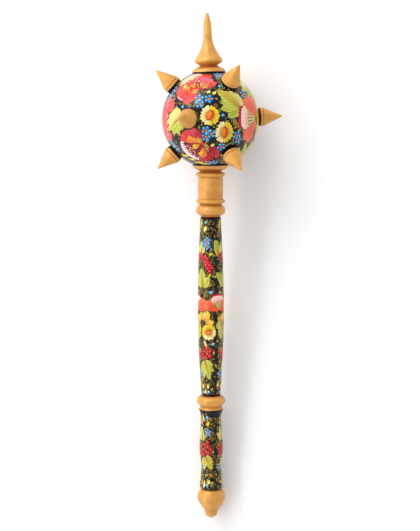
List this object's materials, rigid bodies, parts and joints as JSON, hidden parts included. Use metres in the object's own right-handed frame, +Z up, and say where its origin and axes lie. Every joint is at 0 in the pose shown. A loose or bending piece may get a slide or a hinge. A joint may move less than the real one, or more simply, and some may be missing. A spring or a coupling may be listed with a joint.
{
  "type": "ceremonial mace",
  "caption": "Turned wooden ceremonial mace: a round painted head with spikes and a spire, on a painted spindle handle with gilded collars, grip and pommel.",
  "frame": {"origin": "bottom centre of the box around the lying mace, on the surface that it lies on", "axes": "+Y along the mace towards the head and spire, +Z up, +X to the right when seen from above with the head away"},
  "size_m": [0.1538, 0.6312, 0.1518],
  "materials": {
    "painted_lacquer": "turned wood, black gloss lacquer with a painted folk flower pattern",
    "gold_paint": "turned wood in satin ochre gold paint"
  },
  "bodies": {
    "root": {"head_ball": "painted_lacquer", "handle_shaft": "painted_lacquer", "grip": "painted_lacquer", "top_finial": "gold_paint", "neck_collar": "gold_paint", "grip_ring": "gold_paint", "pommel": "gold_paint", "spike_upper_1": "gold_paint", "spike_upper_2": "gold_paint", "spike_upper_3": "gold_paint", "spike_middle_1": "gold_paint", "spike_middle_2": "gold_paint", "spike_middle_3": "gold_paint", "spike_lower_1": "gold_paint", "spike_lower_2": "gold_paint", "spike_lower_3": "gold_paint"}
  },
  "joints": []
}
